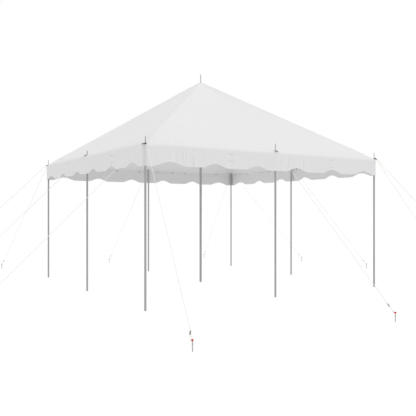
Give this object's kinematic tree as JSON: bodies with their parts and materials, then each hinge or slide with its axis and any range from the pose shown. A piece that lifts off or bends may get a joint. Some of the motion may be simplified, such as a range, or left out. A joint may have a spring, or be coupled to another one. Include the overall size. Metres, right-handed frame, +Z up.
{
  "type": "pole marquee",
  "caption": "Square pole marquee with a hipped fabric roof, scalloped valance, slim poles, and guy ropes to pegs with red heads.",
  "frame": {"origin": "centre of the foot of the centre pole, at ground level", "axes": "+Z up along the centre pole, +Y towards the back wall, +X towards the right wall"},
  "size_m": [9.28, 9.279, 4.033],
  "materials": {
    "roof_fabric": "satin coated fabric",
    "valance_fabric": "satin coated fabric",
    "webbing": "woven webbing",
    "pole_metal": "satin",
    "rope": "twisted rope",
    "rope_fitting": "dark moulded sleeves and runners",
    "peg_steel": "plain bar",
    "peg_head": "red painted head"
  },
  "bodies": {
    "root": {"centre_pole": "pole_metal", "eave_webbing_back": "webbing", "eave_webbing_front": "webbing", "eave_webbing_left": "webbing", "eave_webbing_right": "webbing", "guy_rope_back_left_to_back": "rope", "guy_rope_back_left_to_left": "rope", "guy_rope_back_mid": "rope", "guy_rope_back_right_to_back": "rope", "guy_rope_back_right_to_right": "rope", "guy_rope_front_left_to_front": "rope", "guy_rope_front_left_to_left": "rope", "guy_rope_front_mid": "rope", "guy_rope_front_right_to_front": "rope", "guy_rope_front_right_to_right": "rope", "guy_rope_left_mid": "rope", "guy_rope_right_mid": "rope", "peg_back_left_to_back": "peg_steel", "peg_back_left_to_left": "peg_steel", "peg_back_mid": "peg_steel", "peg_back_right_to_back": "peg_steel", "peg_back_right_to_right": "peg_steel", "peg_front_left_to_front": "peg_steel", "peg_front_left_to_left": "peg_steel", "peg_front_mid": "peg_steel", "peg_front_right_to_front": "peg_steel", "peg_front_right_to_right": "peg_steel", "peg_left_mid": "peg_steel", "peg_right_mid": "peg_steel", "roof_panel_back": "roof_fabric", "roof_panel_front": "roof_fabric", "roof_panel_left": "roof_fabric", "roof_panel_right": "roof_fabric", "side_pole_back_left": "pole_metal", "side_pole_back_mid": "pole_metal", "side_pole_back_right": "pole_metal", "side_pole_front_left": "pole_metal", "side_pole_front_mid": "pole_metal", "side_pole_front_right": "pole_metal", "side_pole_left_mid": "pole_metal", "side_pole_right_mid": "pole_metal", "valance_back": "valance_fabric", "valance_front": "valance_fabric", "valance_left": "valance_fabric", "valance_right": "valance_fabric"}
  },
  "joints": []
}
